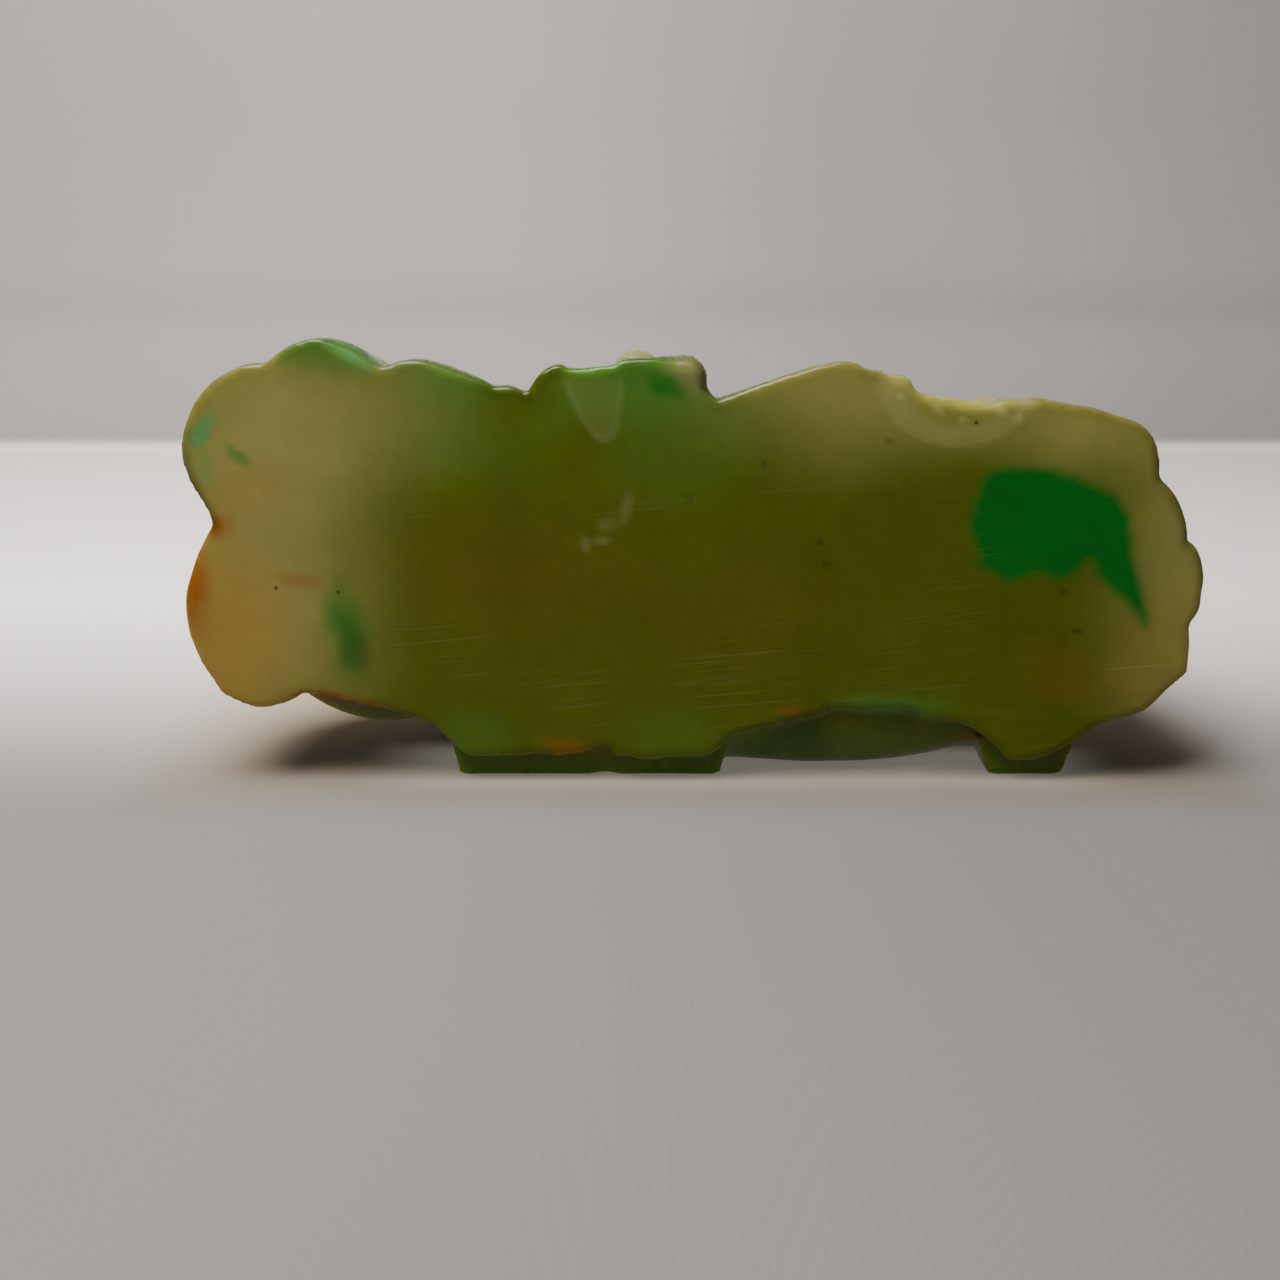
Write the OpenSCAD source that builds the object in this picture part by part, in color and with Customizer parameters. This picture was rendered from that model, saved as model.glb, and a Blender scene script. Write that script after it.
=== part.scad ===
// Jade figurine: a lying winged beast carved in half-round from one stone, with
// a flat ground back. Each node is one carved element of that stone, and the
// elements meet face to face. Nothing on the carving moves.
// Frame: +X towards the muzzle, +Y towards the carved front, +Z up.
// The origin is the centre of the bottom of the bounding box, on the surface
// that the paws stand on.

/* [Stone] */
// Length of the stone from the rump to the muzzle; the rest scales with it
stone_l = 100; // [70:1:130]
// Depth from the ground back to the carved cheek, at a length of 100
stone_d = 28; // [27:0.5:30]
// Thickness of the flat backing behind the carved elements
back_t = 4; // [3:0.5:5]

/* [Head] */
// Radius of the eyeball
eye_r = 2.4; // [1.8:0.1:2.8]
// Radius of the horn at its root
horn_r = 2.4; // [1.8:0.1:2.8]
// Number of curls in each row of the mane
mane_curls = 4; // [3:1:5]

/* [Limbs] */
// Radius of one toe
toe_r = 2.5; // [2:0.1:2.8]
// Number of toes on a paw
toes = 4; // [3:1:4]
// Number of feathers in the wing
feathers = 4; // [3:1:5]

/* [Back and tail] */
// Number of knobs along the spine
ridge_knobs = 4; // [3:1:5]
// Radius of one knob of the spine
knob_r = 2.2; // [1.6:0.1:2.4]

/* [Hidden] */
// The carving is laid out at this length and scaled to stone_l as a whole.
layout_l = 100;
face_y = -stone_d / 2;
slab_y = face_y + back_t;
round_fn = 22;
small_fn = 14;
// How far the feet dip below the standing surface, which cuts them flat.
dip = 0.4;
big = 200;
curve_step = 1.2;
// Outline of the back, clockwise from the notch at the rump. Each row is
// [x, z, bulge]: the stretch to the next row is a parabola that stands out by
// bulge, and a bulge of 0 is a straight stretch.
OUTLINE = [
    // rump tail lobes
    [-46.4, 27, 0], [-47.6, 29.7, 1.8], [-46.1, 39.8, 0.6],
    [-40.2, 42.2, 2.4], [-29.3, 41.8, 0.5], [-24, 42.2, 0.2],
    // spine and wing tip
    [-19, 40, 0.4], [-16, 39.5, 0.9], [-11, 42.2, 0.1],
    [-0.6, 42.9, 0.7], [1, 39.8, 0], [1.9, 38.7, 0.3],
    // mane and horn
    [13.2, 42.4, 0.3], [16, 41.5, 0], [17.8, 41.4, 0.2],
    [20, 41.3, 0.2], [20.8, 40.2, -0.2], [27.2, 39, 0.2],
    [30, 39.3, 0.2], [41, 37, 0.8], [44.2, 33, 0],
    // nose, upper lip and lower lip
    [44.4, 31.5, 0.5], [47.8, 26, 0], [47.8, 25.1, 0],
    [48.5, 25, 0.5], [50, 20, 0.4], [49.1, 16.8, 0.2],
    [49.6, 11.7, 0], [48.2, 10.5, 0], [46, 7.9, 0.1],
    // beard and fore paw
    [41.4, 6.2, 0], [39.6, 5, 0.2], [36.5, 2.8, 0.2], [32.5, 2.1, 0],
    // hollow between the paws
    [30.5, 4.4, 0], [28, 6.2, 0], [23.6, 6.8, 0], [22.3, 8.1, 0],
    [17.9, 8, 0.1], [15.8, 8.3, -0.5], [12.4, 8.2, -0.3],
    // hind foot
    [4.1, 5.2, 0.2], [1.7, 2.7, 0], [-7.5, 2.4, 0], [-8.4, 4.4, 0],
    [-9.6, 4.3, 0], [-11.4, 3, 0], [-22.8, 2.7, 0.4], [-25.9, 6.9, 0],
    // hock and rump
    [-29.9, 8.1, 0], [-39.1, 9.8, 1.6], [-47.4, 9.6, 3.2]];

// Points from p up to q on a parabola that stands out from the chord by s.
function bulged(p, q, s) =
    let (d = q - p, l = norm(d), n = s == 0 ? 1 : max(2, ceil(l / curve_step)))
    [for (i = [0 : n - 1]) let (t = i / n)
        p + d * t + [-d.y, d.x] / l * 4 * s * t * (1 - t)];
function outline() =
    [for (i = [0 : len(OUTLINE) - 1])
        let (p = OUTLINE[i], q = OUTLINE[(i + 1) % len(OUTLINE)])
        each bulged([p.x, p.y], [q.x, q.y], p.z)];

// An ellipsoid at c with half-sizes r, tilted in the XZ plane so that a
// positive tilt lifts its +X end.
module blob(c, r, tilt = 0, fn = round_fn)
    hull() translate(c) rotate([0, -tilt, 0]) scale(r) sphere(1, $fn = fn);

// A limb between two balls [centre, radius].
module limb(a, b, fn = small_fn)
    hull() {
        translate(a[0]) sphere(a[1], $fn = fn);
        translate(b[0]) sphere(b[1], $fn = fn);
    }

// A row of toes that splay across Y, with the first at c.
module toe_row(c, pitch)
    for (i = [0 : toes - 1])
        blob(c + [0, i * pitch, 0], [toe_r * 1.4, toe_r * 0.98, toe_r],
             fn = small_fn);

// The plain forms, before each is cut back by the ones carved over it.
module torso_form() blob([-9, -10, 21.4], [35, 18, 17.2], 1);
module belly_form() blob([6, -8, 9.6], [24, 10.5, 9.1]);
module rump_form() blob([-41, -10, 18], [8.6, 14, 10]);
module haunch_form() blob([-31, -6, 20], [14.5, 18, 15.5], -10);
module hind_foot_form() blob([-14.5, -1, 5.6 - dip], [14.5, 9.5, 5.6], -3);
module hind_toes_form() toe_row([-0.8, -7.6, toe_r - dip], 4.9);
module shoulder_form() blob([6.6, -3, 20.4], [9, 14.5, 12.4], 15);
module forearm_form() limb([[6, 2, 8.6], 6.4], [[25, 2.5, 5.2 - dip], 5.2]);
module fore_paw_form() blob([30.5, -0.5, 4.8 - dip], [7.6, 9.4, 4.8]);
module fore_toes_form() toe_row([36.3, -7.6, toe_r - dip], 4.9);
module mane_form() blob([16.5, -8, 24.8], [12.5, 20, 15.8], 4);
module mane_curls_form()
    for (i = [0 : mane_curls - 1], j = [0, 1])
        let (a = 132 + i * 100 / (mane_curls - 1))
        translate([23 + 12.5 * cos(a) - j * 4.5, 9 - j * 3.4,
                   25.5 + 13.6 * sin(a)])
        sphere(3.3, $fn = small_fn);
module head_form() blob([33.5, -5, 24.6], [12.4, stone_d / 2 + 5, 12.2]);
module muzzle_form() blob([41.5, -5, 20.6], [8, 16, 4.8]);
module nose_form() blob([43.2, -3, 27.3], [4.4, 11, 4.3], -20);
module lower_jaw_form() blob([41.5, -5, 13.4], [7.6, 13.5, 3.6]);
module beard_form() blob([39, -6, 8.4], [8.6, 12, 4.6], 18);
module brow_form() limb([[35.6, 10, 31.8], 2.4], [[42, 7.2, 29.4], 2]);
module eye_form() translate([39.4, 10.6, 26]) sphere(eye_r, $fn = small_fn);
module ear_form() blob([25.6, 10.2, 30.6], [5.8, 3, 3.2], -30);
module horn_form() {
    limb([[34, 6.2, 33.6], horn_r], [[26, 5.2, 34.8], horn_r * 0.85]);
    limb([[26, 5.2, 34.8], horn_r * 0.85], [[18, 4, 36.6], horn_r * 0.55]);
}
module wing_form()
    for (i = [0 : feathers - 1])
        limb([[7, 9, 27.5], 4.2],
             [[-17 + i, 6 + i * 0.7, 33.6 - i * 4.6], 2.7]);
module wing_pearl_form() translate([-5.6, -5.4, 40]) sphere(2.7, $fn = small_fn);
module tail_form() {
    blob([-43, -9, 33.4], [5.6, 12.5, 8.4], 20);
    blob([-34.6, -9, 36.4], [7.2, 13, 7.5], -8);
    blob([-24.6, -9, 36.6], [6.6, 11, 5.2], -14);
}
module spine_ridge_form()
    for (i = [0 : ridge_knobs - 1])
        translate([-17.4 + i * 15 / (ridge_knobs - 1), -4.5,
                   39 - 2.4 * pow(1 - i / (ridge_knobs - 1), 2)])
        sphere(knob_r, $fn = small_fn);

// The forms by rank, topmost first.
module form(rank) {
    if (rank == 0) eye_form();
    if (rank == 1) horn_form();
    if (rank == 2) brow_form();
    if (rank == 3) nose_form();
    if (rank == 4) ear_form();
    if (rank == 5) hind_toes_form();
    if (rank == 6) fore_toes_form();
    if (rank == 7) beard_form();
    if (rank == 8) muzzle_form();
    if (rank == 9) lower_jaw_form();
    if (rank == 10) wing_form();
    if (rank == 11) wing_pearl_form();
    if (rank == 12) mane_curls_form();
    if (rank == 13) fore_paw_form();
    if (rank == 14) forearm_form();
    if (rank == 15) hind_foot_form();
    if (rank == 16) tail_form();
    if (rank == 17) spine_ridge_form();
    if (rank == 18) head_form();
    if (rank == 19) mane_form();
    if (rank == 20) shoulder_form();
    if (rank == 21) haunch_form();
    if (rank == 22) rump_form();
    if (rank == 23) belly_form();
    if (rank == 24) torso_form();
}

// One carved element: its form, less the forms of every lower rank, in front of
// the backing and above the standing surface.
module carved(rank)
    scale(stone_l / layout_l)
    intersection() {
        translate([-big / 2, slab_y, 0]) cube(big);
        difference() {
            form(rank);
            for (over = [0 : 1 : rank - 1]) form(over);
        }
    }

// The nodes.
module back_slab()
    color("darkkhaki")
    scale(stone_l / layout_l)
    translate([0, slab_y, 0]) rotate([90, 0, 0])
    linear_extrude(back_t) polygon(outline());
module eye() color("darkgreen") carved(0);
module horn() color("khaki") carved(1);
module brow() color("khaki") carved(2);
module nose() color("khaki") carved(3);
module ear() color("khaki") carved(4);
module hind_toes() color("seagreen") carved(5);
module fore_toes() color("olive") carved(6);
module beard() color("olive") carved(7);
module muzzle() color("khaki") carved(8);
module lower_jaw() color("khaki") carved(9);
module wing() color("mediumseagreen") carved(10);
module wing_pearl() color("palegoldenrod") carved(11);
module mane_curls() color("darkkhaki") carved(12);
module fore_paw() color("olive") carved(13);
module forearm() color("seagreen") carved(14);
module hind_foot() color("seagreen") carved(15);
module tail() color("mediumseagreen") carved(16);
module spine_ridge() color("mediumseagreen") carved(17);
module head() color("darkkhaki") carved(18);
module mane() color("darkkhaki") carved(19);
module shoulder() color("olivedrab") carved(20);
module haunch() color("olivedrab") carved(21);
module rump() color("burlywood") carved(22);
module belly() color("darkgreen") carved(23);
module torso() color("olivedrab") carved(24);

back_slab();
torso();
belly();
rump();
haunch();
hind_foot();
hind_toes();
shoulder();
forearm();
fore_paw();
fore_toes();
mane();
mane_curls();
head();
muzzle();
nose();
lower_jaw();
beard();
brow();
eye();
ear();
horn();
wing();
wing_pearl();
tail();
spine_ridge();
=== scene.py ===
"""Jade figurine: a lying winged beast carved in half-round from one translucent stone.

Each piece is sculpted as a signed distance field in millimetres and meshed. The ground back
and the body behind it are one piece, and the carved elements stand out of it.
"""
import math
from collections import Counter

import bpy
import numpy as np
import openvdb
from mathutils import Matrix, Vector


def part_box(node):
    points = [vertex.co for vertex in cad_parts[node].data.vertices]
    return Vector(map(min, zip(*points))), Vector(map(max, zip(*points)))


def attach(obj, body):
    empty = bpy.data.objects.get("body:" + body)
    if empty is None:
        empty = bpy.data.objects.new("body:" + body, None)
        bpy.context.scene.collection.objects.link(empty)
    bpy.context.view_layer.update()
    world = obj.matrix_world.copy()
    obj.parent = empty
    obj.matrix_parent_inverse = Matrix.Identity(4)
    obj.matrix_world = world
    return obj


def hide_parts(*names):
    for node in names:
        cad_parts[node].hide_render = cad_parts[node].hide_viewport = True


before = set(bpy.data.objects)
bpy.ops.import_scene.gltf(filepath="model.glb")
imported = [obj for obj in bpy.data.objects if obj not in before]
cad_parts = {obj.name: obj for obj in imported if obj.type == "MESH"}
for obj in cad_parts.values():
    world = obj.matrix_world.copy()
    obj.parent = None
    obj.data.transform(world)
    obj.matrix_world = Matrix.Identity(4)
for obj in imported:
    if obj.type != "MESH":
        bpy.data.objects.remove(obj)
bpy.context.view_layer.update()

MM = 0.001
# Grid steps in millimetres, for the body and for the finer carved elements.
VOXEL = 0.41
FINE_VOXEL = 0.25
# Each piece's grid reaches this far past its CAD nodes' box.
MARGIN = 1.4
# How many grid steps of distance are kept on each side of a surface.
BAND = 3
# The carved elements start this far behind the ground face, inside the body.
ELEMENT_START = 2.2
# How far some elements' roots reach back into the stone beyond their CAD node's lowest X.
ROOTS = {"hind_toes": (4.0, 0, 0), "fore_toes": (4.0, 0, 0)}
# How much of a piece's own tone covers the stone's colour.
TONE_SHARE = 0.8


def box_mm(*nodes):
    """The box around some CAD nodes, in millimetres: its lowest and highest corners."""
    lows, highs = zip(*(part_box(node) for node in nodes))
    return np.min(np.array(lows), axis=0) / MM, np.max(np.array(highs), axis=0) / MM


NODES = list(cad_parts)
WHOLE_LOW, WHOLE_HIGH = box_mm(*NODES)
FACE_Y = WHOLE_LOW[1]


# ---------------------------------------------------------------- fields

def noise(x, y, z, size, seed):
    """A smooth random field from -1 to 1, whose bumps are about size across."""
    table = np.random.default_rng(seed).uniform(-1, 1, (32, 32, 32)).astype(np.float32)
    cells, parts = [], []
    for c in (x, y, z):
        c = np.asarray(c, np.float32) / size + 100
        low = np.floor(c).astype(np.int32)
        t = c - low
        cells.append((low % 32, (low + 1) % 32))
        parts.append(t * t * (3 - 2 * t))
    total = 0
    for i in (0, 1):
        for j in (0, 1):
            for k in (0, 1):
                weight = 1
                for corner, part in zip((i, j, k), parts):
                    weight = weight * (part if corner else 1 - part)
                total = total + weight * table[cells[0][i], cells[1][j], cells[2][k]]
    return total


def rough_noise(x, y, z, size, seed, octaves=3):
    """Noise with finer and fainter noise over it."""
    return sum(noise(x, y, z, size / 2**i, seed + i) / 2**i for i in range(octaves))


def smooth_union(a, b, k):
    """What is in either field, with the crease between them filled over a width of k."""
    h = np.clip(0.5 + 0.5 * (b - a) / k, 0, 1)
    return b + (a - b) * h - k * h * (1 - h)


def smooth_cut(a, b, k):
    """What is in both fields, with the edge between them rounded."""
    return -smooth_union(-a, -b, k)


def step(value, low, high):
    """A smooth step from 0 at low to 1 at high."""
    t = np.clip((value - low) / (high - low), 0, 1)
    return t * t * (3 - 2 * t)


def turned(u, v, angle):
    """Flat coordinates seen from axes that are turned by an angle in degrees."""
    c, s = math.cos(math.radians(angle)), math.sin(math.radians(angle))
    return u * c + v * s, v * c - u * s


def ellipsoid(p, centre, radii, tilt=0):
    """Near distance to an ellipsoid; a positive tilt lifts its +X end."""
    u, w = turned(p[0] - centre[0], p[2] - centre[2], tilt)
    q = (u, p[1] - centre[1], w)
    near = np.sqrt(sum((c / r) ** 2 for c, r in zip(q, radii))) + 1e-6
    steep = np.sqrt(sum((c / r**2) ** 2 for c, r in zip(q, radii))) + 1e-6
    return near * (near - 1) / steep


def round_cone(p, start, end, r_start, r_end):
    """Distance to a bar with round ends that tapers from start to end."""
    axis = np.subtract(end, start)
    rel = [p[i] - start[i] for i in range(3)]
    t = np.clip(sum(rel[i] * axis[i] for i in range(3)) / (axis @ axis), 0, 1)
    off = np.sqrt(sum((rel[i] - t * axis[i]) ** 2 for i in range(3)))
    return off - (r_start + (r_end - r_start) * t)


def groove(distance, depth, width):
    """How far a cut with a round bottom lowers the surface, by the distance from its line."""
    return depth * np.exp(-((distance / width) ** 2))


def spiral_line(u, v, pitch, hand=1, start=0.0):
    """Distance to a flat spiral around the origin whose turns are pitch apart."""
    r = np.hypot(u, v)
    turn = hand * np.arctan2(v, u) / (2 * math.pi) + start
    return np.abs((r / pitch - turn) % 1 - 0.5) * pitch


def curl(p, centre, pitch, reach, hand=1, start=0.0, depth=0.55, width=0.42):
    """A carved spiral on a boss, fading out at its reach."""
    u, v = p[0] - centre[0], p[2] - centre[1]
    cut = groove(spiral_line(u, v, pitch, hand, start), depth, width)
    return cut * (1 - step(np.hypot(u, v), reach * 0.8, reach))


def line_cut(p, a, b, depth=0.5, width=0.4, bow=0.0):
    """A carved line from a to b in the XZ plane, bowed sideways by bow."""
    ax, az = a
    bx, bz = b
    length = math.hypot(bx - ax, bz - az)
    ex, ez = (bx - ax) / length, (bz - az) / length
    along = (p[0] - ax) * ex + (p[2] - az) * ez
    side = (p[2] - az) * ex - (p[0] - ax) * ez
    t = np.clip(along / length, 0, 1)
    off = np.hypot(side - 4 * bow * t * (1 - t), along - t * length)
    fade = 0.4 + 0.6 * np.sin(math.pi * np.clip(t, 0.03, 0.97))
    return groove(off, depth, width) * fade


# ---------------------------------------------------------------- outline of the ground back

def back_outline():
    """The ground face's outline in order, as (x, z) rows in millimetres."""
    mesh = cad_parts["back_slab"].data
    low = min(v.co.y for v in mesh.vertices)
    on_face = {v.index for v in mesh.vertices if v.co.y < low + 1e-5}
    faces = [p for p in mesh.polygons if on_face.issuperset(p.vertices)]
    used = Counter(key for p in faces for key in p.edge_keys)
    beside = {}
    for a, b in (key for key, times in used.items() if times == 1):
        beside.setdefault(a, []).append(b)
        beside.setdefault(b, []).append(a)
    first = min(beside)
    loop, last = [first], None
    while True:
        following = [v for v in beside[loop[-1]] if v != last][0]
        if following == first:
            break
        last = loop[-1]
        loop.append(following)
    rows = np.array([(mesh.vertices[v].co.x, mesh.vertices[v].co.z) for v in loop]) / MM
    after = np.roll(rows, -1, axis=0)
    return np.stack([0.8 * rows + 0.2 * after, 0.2 * rows + 0.8 * after], axis=1).reshape(-1, 2)


def outline_distance(x, z, loop):
    """Signed distance in the XZ plane to the outline, negative inside."""
    near = np.full(x.shape, 1e9, np.float32)
    inside = np.zeros(x.shape, bool)
    for (ax, az), (bx, bz) in zip(loop, np.roll(loop, -1, axis=0)):
        ex, ez = bx - ax, bz - az
        t = np.clip(((x - ax) * ex + (z - az) * ez) / (ex * ex + ez * ez + 1e-9), 0, 1)
        near = np.minimum(near, (x - ax - t * ex) ** 2 + (z - az - t * ez) ** 2)
        if az != bz:
            inside ^= ((az > z) != (bz > z)) & (x < ex * (z - az) / ez + ax)
    return np.where(inside, -1, 1) * np.sqrt(near)


OUTLINE = back_outline()


def near_spot(x, z, spot):
    """1 in the middle of a soft spot (x, z, half width, half height, tilt), 0 outside it."""
    u, w = turned(x - spot[0], z - spot[1], spot[4])
    return 1 - step(np.hypot(u / spot[2], w / spot[3]), 0.35, 1.0)


# Where the ground face stops short of the stone's edge, with how far in millimetres.
CHAMFERS = [
    ((0.4, 42.0, 5.5, 4.5, 0), 1.1),
    ((-31.0, 44.6, 5.0, 4.0, 0), 1.0),
    ((-22.0, 43.5, 6.0, 4.5, 0), 0.6),
    ((50.0, 20.0, 6.0, 16.0, 0), 0.4),
    ((-50.0, 18.0, 6.0, 16.0, 0), 0.3),
]
# The chamfer elsewhere and how much it varies, and the waves in the rim itself.
PLAIN_CHAMFER = 0.12
CHAMFER_WAVES = 0.05
RIM_WAVES = 0.12
# The top leans away behind the ground face, so that the face's own edge is its crest.
TOP_LEAN = 0.16
# Behind the ground face the feet narrow downward from the outline's width at this height.
FOOT_LEVEL = 5.4
FOOT_TAPER = 0.2
FOOT_TOP = 4.2
FOOT_SET_BACK = 1.6
# The dome over the outline: how far in from the rim it levels off, the depth that it starts
# from, how much deeper it gets and how much less of that there is under the tail's curls.
DOME_REACH = 12
DOME_START = 6.0
DOME_RISE = 13.0
TAIL_LEDGE = 8.0


def rim_chamfer(x, z):
    """How far in the ground face's edge is cut."""
    chamfer = PLAIN_CHAMFER + CHAMFER_WAVES * noise(x, 0 * x, z, 5.0, 4)
    for spot, much in CHAMFERS:
        chamfer = chamfer + much * near_spot(x, z, spot)
    return chamfer


def feet_outline(x, z):
    """Signed distance to the feet in the XZ plane."""
    feet = outline_distance(x, np.maximum(z, FOOT_LEVEL), OUTLINE)
    return np.maximum(feet + FOOT_TAPER * (FOOT_LEVEL - z), z - FOOT_TOP)


def rim_field(x, depth, z):
    """Distance to the stone's side all round; x and z are those of one XZ layer of the grid."""
    side = outline_distance(x, z, OUTLINE) + RIM_WAVES * noise(x, 0 * x, z, 2.2, 3)
    layers = (side, rim_chamfer(x, z), feet_outline(x, z), step(z, 24, 34))
    side, chamfer, feet, top = (layer[:, None, :] for layer in layers)
    # The side rolls over into the ground face, and the feet reach lower close behind it.
    roll = np.clip(1 - depth / (1.3 * chamfer + 0.25), 0, 1)
    inset = chamfer * (1 - np.sqrt(np.clip(1 - roll**2, 0, 1)))
    lean = TOP_LEAN * top * np.clip(depth - 1.2 - chamfer, 0, None)
    return smooth_union(side + inset + lean, np.maximum(feet, FOOT_SET_BACK - depth), 0.4)


def body_field(p):
    """The ground back, the body that swells behind it and the belly."""
    x, y, z = p
    depth = y - FACE_Y
    plan_x, plan_z = x[:, 0, :], z[:, 0, :]
    rim = rim_field(plan_x, depth, plan_z)
    inner = np.clip(-rim / DOME_REACH, 0, 1)
    ledge = (step(plan_z, 27, 36) * (1 - step(plan_x, -2, 6)))[:, None, :]
    front = DOME_START + (DOME_RISE - TAIL_LEDGE * ledge) * np.sqrt(1 - (1 - inner) ** 2)
    body = smooth_cut(rim, (depth - front) * 0.75, 2.0)

    belly = ellipsoid(p, (14, -2.0, 6.6), (24, 11.2, 8.4))
    flank = ellipsoid(p, (-9, -9, 19.6), (33, 17.5, 15.0))
    shoulder = ellipsoid(p, (6.6, -3, 20.4), (10, 14.5, 12.6), 15)
    body = smooth_union(body, belly, 2.0)
    body = smooth_union(body, flank, 3.0)
    body = smooth_union(body, shoulder, 2.5)
    body = body + face_scars(x, depth, z)
    # Three ribs show on the carved flank.
    for i in range(3):
        body = body + line_cut(p, (-13 + 4.5 * i, 9), (-15.5 + 4.5 * i, 19), bow=1.2) * (y > 0)
    body = body + 0.05 * noise(x, y, z, 3.0, 9) * (depth > 1.0)
    body = smooth_cut(body, -depth, 0.12)
    return smooth_cut(body, -z, 0.5)


# How sharply the tongue-shaped scar's sides bend, and where its lowest point is.
TONGUE_BEND = 0.86
TONGUE_TIP = (-8.7, 35.3)
# The shell-shaped break's middle, half width and half height.
SHELL_MIDDLE = (24.6, 40.4)
SHELL_SIZE = (7.6, 5.9)
# How deep the scars are, with the deeper middle of the shell and the ripples across it.
TONGUE_DEPTH = 0.4
SHELL_DEPTH = 0.45
HOLLOW_DEPTH = 0.4
RIPPLE_DEPTH = 0.08


def tongue_scar(x, z):
    """Signed distance to a tongue-shaped scar that hangs from the top edge, negative inside."""
    tip_x, tip_z = TONGUE_TIP
    off = x - tip_x + 0.18 * (z - tip_z)
    return (TONGUE_BEND * off**2 - (z - tip_z)) / np.sqrt(1 + (2 * TONGUE_BEND * off) ** 2)


def shell_scar(x, z):
    """How far out a place is in a shell-shaped break under the top edge: 1 on its rim."""
    off_x, off_z = x - SHELL_MIDDLE[0], z - SHELL_MIDDLE[1]
    return np.hypot(off_x / SHELL_SIZE[0], off_z / SHELL_SIZE[1])


def face_scars(x, depth, z):
    """Two shallow breaks in the ground face, as the depth that they take away."""
    tongue = 1 - step(tongue_scar(x, z), -0.5, 0.1)
    reach = shell_scar(x, z)
    shell = 1 - step(reach, 0.86, 1.0)
    hollow = 1 - step(reach, 0.3, 0.7)
    ripple = RIPPLE_DEPTH * np.sin(reach * 15) * shell
    scars = TONGUE_DEPTH * tongue + SHELL_DEPTH * shell + HOLLOW_DEPTH * hollow + ripple
    return scars * (depth < 6)


# ---------------------------------------------------------------- carved elements

def haunch_field(p):
    """The hind leg's thigh with a curl on it."""
    field = ellipsoid(p, (-31, -6, 20), (14.2, 17.4, 15), -10)
    field = field + curl(p, (-32.5, 21), 3.9, 8.5, hand=-1)
    return field + line_cut(p, (-22, 29), (-19, 12), bow=-2)


def hind_foot_field(p):
    """The long hind foot along the floor."""
    field = ellipsoid(p, (-14.5, -1.4, 5.2), (14.2, 9.4, 5.5), -3)
    for i in range(2):
        field = field + line_cut(p, (-22 + 2.5 * i, 9.4), (-26 + 2.5 * i, 3), bow=0.8)
    return field


def toes_field(p, node):
    """Four toes side by side, each arching out of the paw.

    All but the one against the ground back end in a short claw.
    """
    low, high = box_mm(node)
    count = 4
    pitch = (high[1] - low[1]) / (count + 0.05)
    field = None
    for i in range(count):
        y = low[1] + pitch * (i + 0.5)
        toe = ellipsoid(p, (low[0] + 2.6, y, 2.3), (3.0, pitch * 0.53, 2.4))
        knuckle = round_cone(p, (low[0] - 2.4, y, 4.0), (low[0] + 2.2, y, 2.9), 2.3, 2.0)
        toe = smooth_union(toe, knuckle, 0.9)
        if i > 0:
            claw = round_cone(p, (high[0] - 1.6, y, 1.9), (high[0] - 0.1, y, 0.6), 1.05, 0.4)
            toe = smooth_union(toe, claw, 0.3)
        field = toe if field is None else smooth_union(field, toe, 0.25)
    return field


def forearm_field(p):
    """The forearm that lies along the floor, with a curl at the elbow."""
    field = round_cone(p, (6, 2, 8.6), (25, 2.5, 4.8), 6.2, 5.1)
    field = smooth_union(field, ellipsoid(p, (5, 3, 10), (6, 6, 6)), 2.0)
    field = field + curl(p, (4.5, 9.4), 2.9, 4.6, hand=1)
    return field + line_cut(p, (11, 10.8), (24, 7.2), bow=-0.4)


def fore_paw_field(p):
    """The paw, with grooves that lead to the gaps between the toes."""
    field = ellipsoid(p, (30.5, -0.5, 4.4), (7.5, 9.3, 4.7))
    for i in range(3):
        field = field + groove(np.hypot(p[1] - (4.6 - 4.9 * i), 0.2 * (p[0] - 36)), 0.7, 0.5)
    return field


def mane_field(p):
    """The neck with locks that sweep back from the face."""
    field = ellipsoid(p, (16.8, -8, 24.6), (12.2, 19.6, 15.6), 4)
    u, w = p[0] - 35, p[2] - 25
    around, out = np.arctan2(w, -u), np.hypot(u, w)
    lock = np.abs(np.sin(around * 13 + out * 0.16))
    field = field + 0.55 * (1 - lock) ** 2 * (p[1] > -9)
    return field + 0.16 * (1 - np.abs(np.sin(around * 39 + out * 0.5))) * (p[1] > -9)


def curls_field(p):
    """Two rows of curled locks behind the head."""
    field = None
    for i in range(4):
        for j in range(2):
            angle = math.radians(132 + i * 100 / 3)
            centre = (23 + 12.5 * math.cos(angle) - 4.5 * j, 9 - 3.4 * j,
                      25.5 + 13.6 * math.sin(angle))
            ball = ellipsoid(p, centre, (3.3, 3.2, 3.3))
            ball = ball + curl(p, (centre[0], centre[2]), 1.9, 3.4, hand=1 - 2 * (i % 2),
                               depth=0.5, width=0.34)
            field = ball if field is None else np.minimum(field, ball)
    return field


def head_field(p):
    """The skull and cheek, with an eye socket and whiskers."""
    field = ellipsoid(p, (33.5, -5, 24.6), (12.2, 18.4, 12))
    field = smooth_union(field, ellipsoid(p, (33, 4, 18.6), (7.5, 8.4, 7.0)), 2.0)
    socket = ellipsoid(p, (40.0, 11.6, 26.2), (4.2, 3.6, 3.2))
    field = smooth_cut(field, -socket, 1.2)
    field = field + line_cut(p, (37.5, 15.6), (31, 22.5), depth=0.6, bow=2.2)
    field = field + line_cut(p, (35, 14.0), (27.5, 21.5), depth=0.5, bow=2.6)
    for i in range(4):
        field = field + line_cut(p, (24.5 - 0.5 * i, 15 + 4 * i), (21.5, 13.5 + 4.4 * i), bow=-0.6)
    return field


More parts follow.
